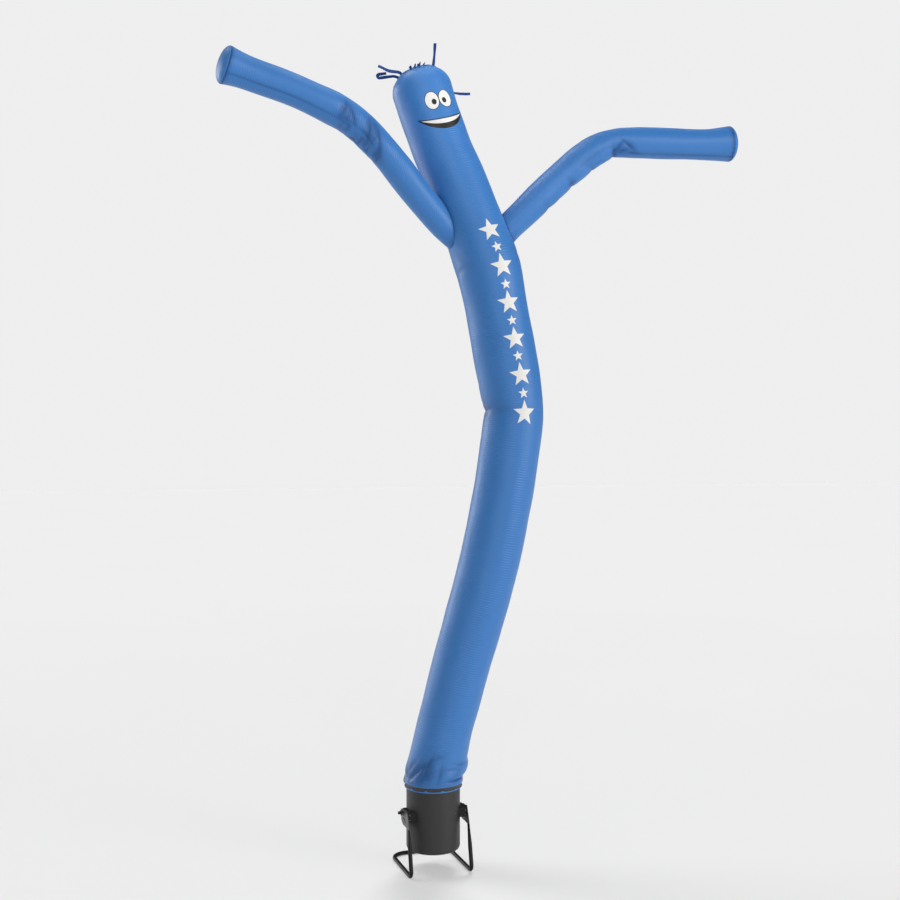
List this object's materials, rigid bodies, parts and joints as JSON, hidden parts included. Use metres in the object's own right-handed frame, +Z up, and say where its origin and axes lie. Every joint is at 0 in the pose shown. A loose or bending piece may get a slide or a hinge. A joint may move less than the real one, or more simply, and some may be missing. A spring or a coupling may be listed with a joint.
{
  "type": "inflatable air dancer",
  "caption": "Tall blown-up cloth tube figure with two raised arms, a round head and loose strands of hair, standing on a drum blower in a bent tube stand.",
  "frame": {"origin": "on the floor, under the middle of the stand's back bar", "axes": "+Z up; -Y the way the figure faces, out of the stand's open front; +X towards its arm on the viewer's right. The drum's axis stands 335 mm forward of the origin, at Y = -0.335 m"},
  "size_m": [3.9899, 0.9379, 6.1991],
  "materials": {
    "cloth": "satin coated nylon",
    "hair": "satin coated nylon",
    "band": "matt woven strap",
    "drum": "satin paint",
    "guard": "satin paint",
    "bracket": "satin paint",
    "bolt": "satin",
    "plate": "satin paint",
    "knob": "matt",
    "stand": "satin paint"
  },
  "bodies": {
    "root": {"body_tube": "cloth", "head_panel": "cloth", "arm_tube_left": "cloth", "arm_tube_right": "cloth", "hand_panel_left": "cloth", "hand_panel_right": "cloth", "hair_strip": "hair", "clamp_band": "band", "drum_shell": "drum", "inlet_guard": "guard", "drum_bracket_left": "bracket", "drum_bracket_right": "bracket", "bracket_bolt_left_1": "bolt", "bracket_bolt_left_2": "bolt", "bracket_bolt_right_1": "bolt", "bracket_bolt_right_2": "bolt", "pivot_plate_left": "plate", "pivot_plate_right": "plate", "pivot_knob_left": "knob", "pivot_knob_right": "knob", "stand_tube": "stand"}
  },
  "joints": []
}
